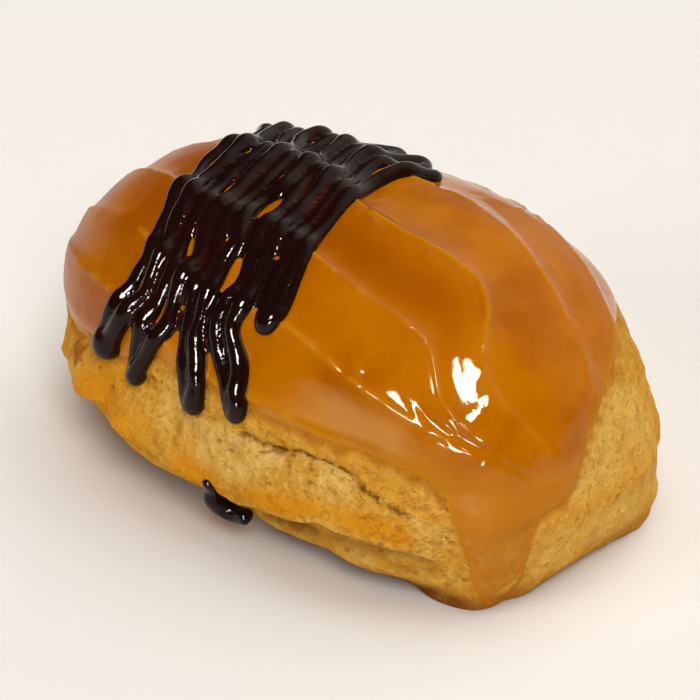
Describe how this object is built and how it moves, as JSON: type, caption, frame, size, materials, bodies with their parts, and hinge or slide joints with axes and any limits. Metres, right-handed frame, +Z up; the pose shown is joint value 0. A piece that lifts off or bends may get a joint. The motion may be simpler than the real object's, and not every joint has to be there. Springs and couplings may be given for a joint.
{
  "type": "eclair",
  "caption": "Short plump choux eclair with a caramel glaze over its ridged dome and a zigzag of piped dark chocolate across it, for display, serving or table scenes.",
  "frame": {"origin": "on the floor under the middle of the bounding box", "axes": "+Z up, +X along the eclair to its blunt end, -Y to the side that the chocolate hangs over"},
  "size_m": [0.0787, 0.0525, 0.0381],
  "materials": {
    "choux": "matte golden baked choux, finely porous",
    "caramel": "glossy translucent caramel glaze, with glossy dark chocolate piped on it"
  },
  "bodies": {
    "root": {"choux_bun": "choux", "caramel_glaze": "caramel"}
  },
  "joints": []
}
